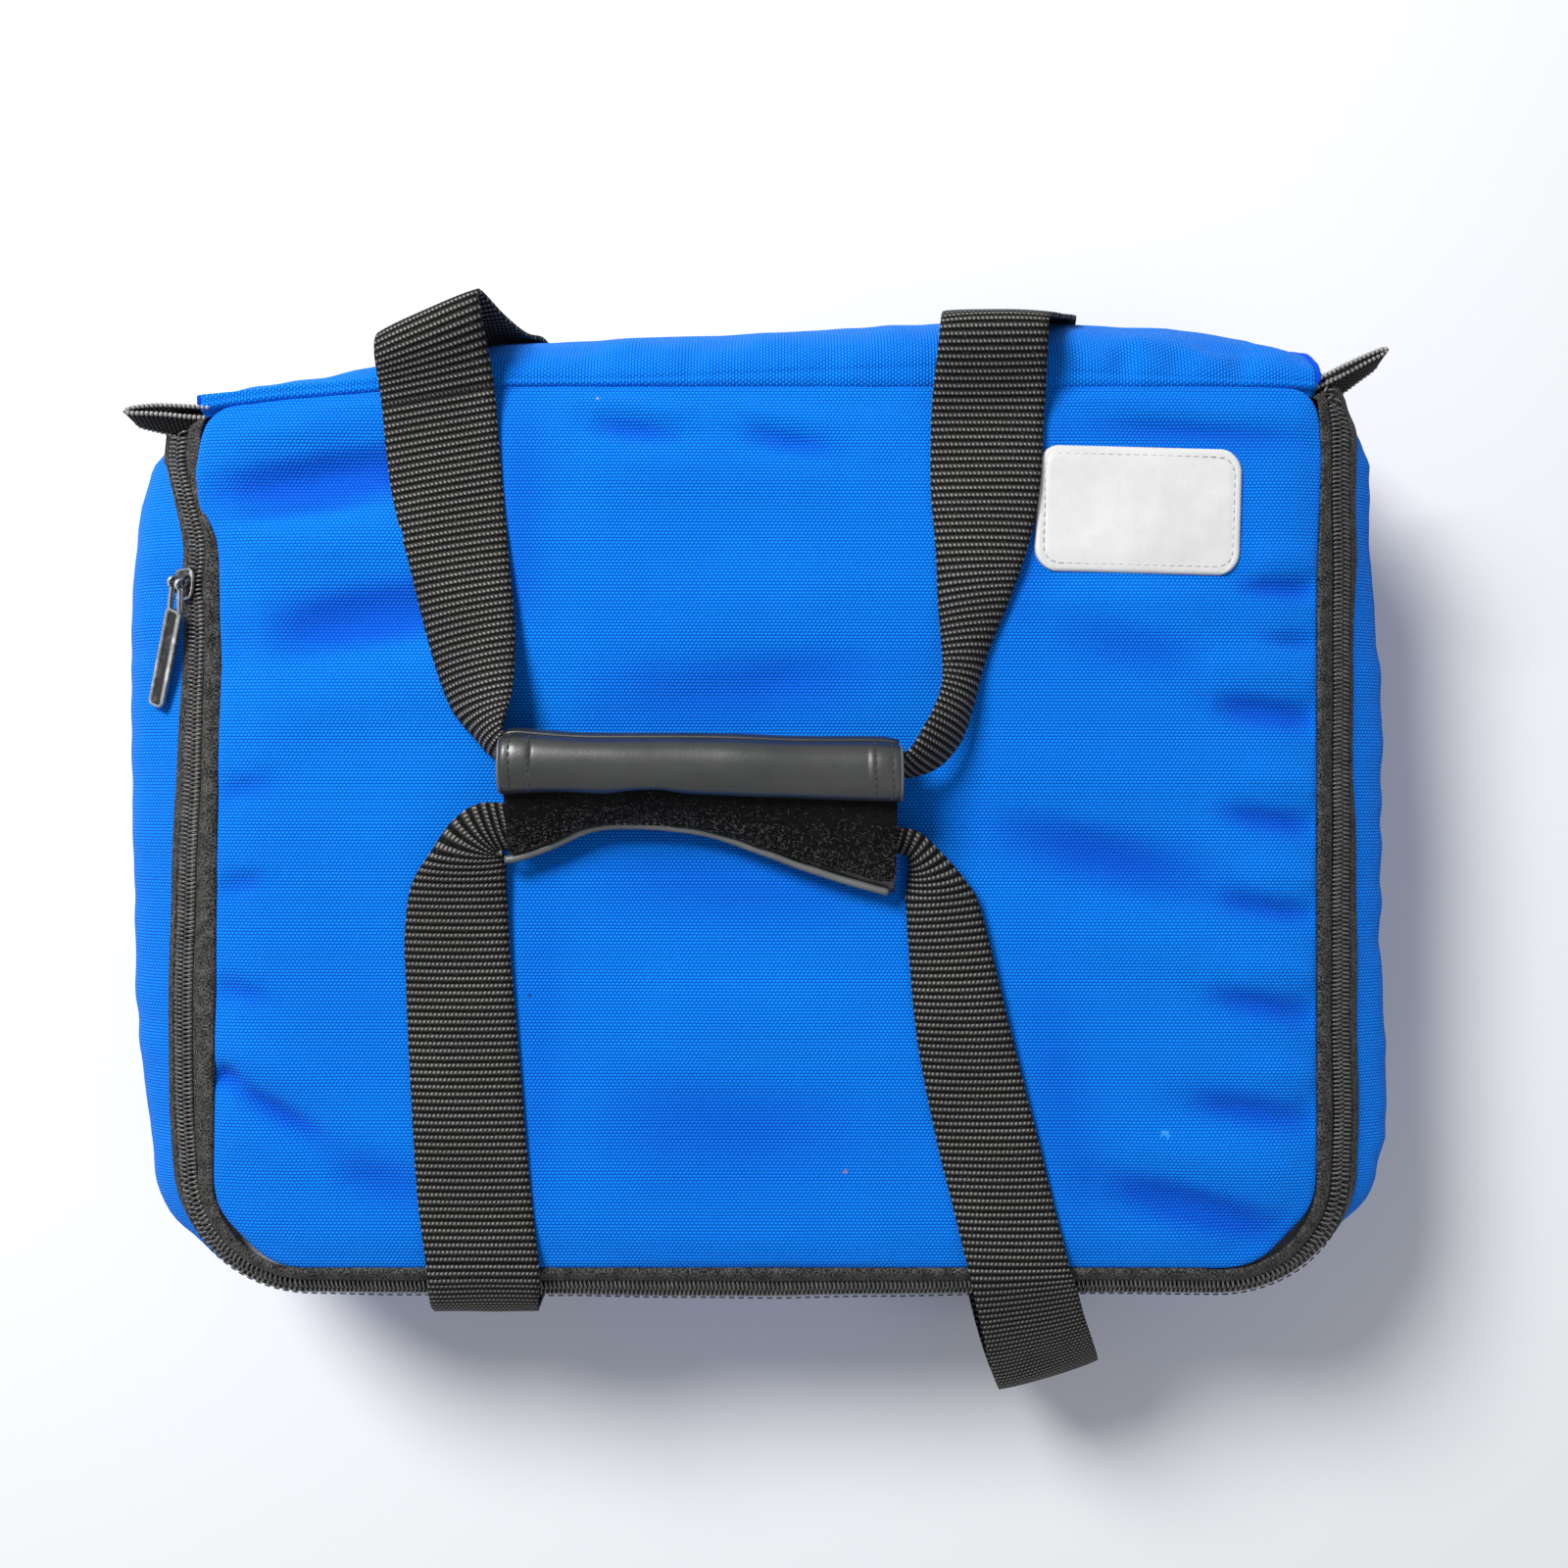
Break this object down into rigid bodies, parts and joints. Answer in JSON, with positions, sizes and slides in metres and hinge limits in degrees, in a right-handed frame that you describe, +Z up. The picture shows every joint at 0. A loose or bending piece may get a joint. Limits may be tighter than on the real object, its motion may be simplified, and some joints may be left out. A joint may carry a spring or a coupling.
{
  "type": "insulated lunch box",
  "caption": "Soft-sided insulated lunch box lying on its base, with a zip-round padded lid and webbing carry handles that meet in a closing grip wrap.",
  "frame": {"origin": "middle of the overall length and depth, at the plane the bag lies on", "axes": "+X to the bag's right with the hinge side away, +Y towards the hinge side of the lid, +Z up through the lid"},
  "size_m": [0.444, 0.3852, 0.126],
  "materials": {
    "blue_fabric": "heavy plain weave polyester",
    "foam": "closed-cell foam",
    "lining": "heat-sealed film",
    "board": "matte",
    "zip_tape": "woven twill",
    "zip_coil": "nylon coil",
    "patch": "smooth leatherette",
    "slider_metal": "black nickel",
    "vinyl": "soft vinyl",
    "hook_and_loop": "looped pile",
    "webbing": "ribbed webbing",
    "ribbon": "grosgrain"
  },
  "bodies": {
    "tub": {"gusset_fabric": "blue_fabric", "spine_fabric": "blue_fabric", "hinge_piping": "blue_fabric", "wall_foam": "foam", "wall_lining": "lining", "base_fabric": "blue_fabric", "base_board": "board", "base_foam": "foam", "base_lining": "lining", "tub_zip_tape": "zip_tape", "tub_zip_coil": "zip_coil", "end_loop_left": "ribbon", "end_loop_right": "ribbon", "base_strap_left": "webbing", "base_strap_right": "webbing", "back_strap_left": "webbing", "back_strap_right": "webbing", "front_strap_left": "webbing", "front_strap_right": "webbing", "back_bend_left": "webbing", "back_bend_right": "webbing"},
    "lid": {"lid_fabric": "blue_fabric", "lid_foam": "foam", "lid_lining": "lining", "lid_binding": "zip_tape", "lid_zip_tape": "zip_tape", "lid_zip_coil": "zip_coil", "blank_patch": "patch"},
    "slider": {"slider_body": "slider_metal", "slider_bridge": "slider_metal"},
    "pull": {"pull_tab": "slider_metal"},
    "back_handle": {"back_leg_left": "webbing", "back_leg_right": "webbing", "back_grip": "webbing", "wrap_sleeve": "vinyl"},
    "wrap_cover": {"wrap_flap": "vinyl", "hook_strip": "hook_and_loop"},
    "front_strap_root": {"front_bend_left": "webbing", "front_bend_right": "webbing"},
    "front_handle": {"front_leg_left": "webbing", "front_leg_right": "webbing", "front_grip": "webbing", "front_cover": "vinyl", "loop_strip": "hook_and_loop"}
  },
  "joints": [
    {"name": "lid_hinge", "type": "hinge", "parent": "tub", "child": "lid", "pos_m": [0, 0.16315, 0.0972], "axis": [-1, 0, 0], "range_deg": [0, 90], "deforming": ["back_bend_left", "back_bend_right", "lid_zip_tape", "lid_zip_coil", "front_leg_left", "front_leg_right", "front_grip", "front_cover", "loop_strip"]},
    {"name": "slider_slide", "type": "slide", "parent": "tub", "child": "slider", "axis": [0, -1, 0], "range_m": [-0.045, 0.19]},
    {"name": "pull_swing", "type": "hinge", "parent": "slider", "child": "pull", "pos_m": [-0.20033, 0.09565, 0.097], "axis": [-0.866, 0, -0.5], "range_deg": [0, 170]},
    {"name": "back_handle_swing", "type": "hinge", "parent": "lid", "child": "back_handle", "pos_m": [0, 0.15915, 0.1002], "axis": [-1, 0, 0], "range_deg": [0, 90]},
    {"name": "wrap_cover_swing", "type": "hinge", "parent": "back_handle", "child": "wrap_cover", "pos_m": [0, 0.04245, 0.12129], "axis": [-1, 0, 0], "range_deg": [0, 120]},
    {"name": "front_strap_root_swing", "type": "hinge", "parent": "tub", "child": "front_strap_root", "pos_m": [0, -0.15885, 0.084], "axis": [1, 0, 0], "range_deg": [0, 189], "deforming": ["front_bend_left", "front_bend_right"]},
    {"name": "front_handle_swing", "type": "hinge", "parent": "front_strap_root", "child": "front_handle", "pos_m": [0, -0.15885, 0.084], "axis": [-1, 0, 0], "range_deg": [-90, 0]}
  ],
  "couplings": [
    {"joint": "front_strap_root_swing", "follows": "lid_hinge", "ratio": 2.1}
  ]
}
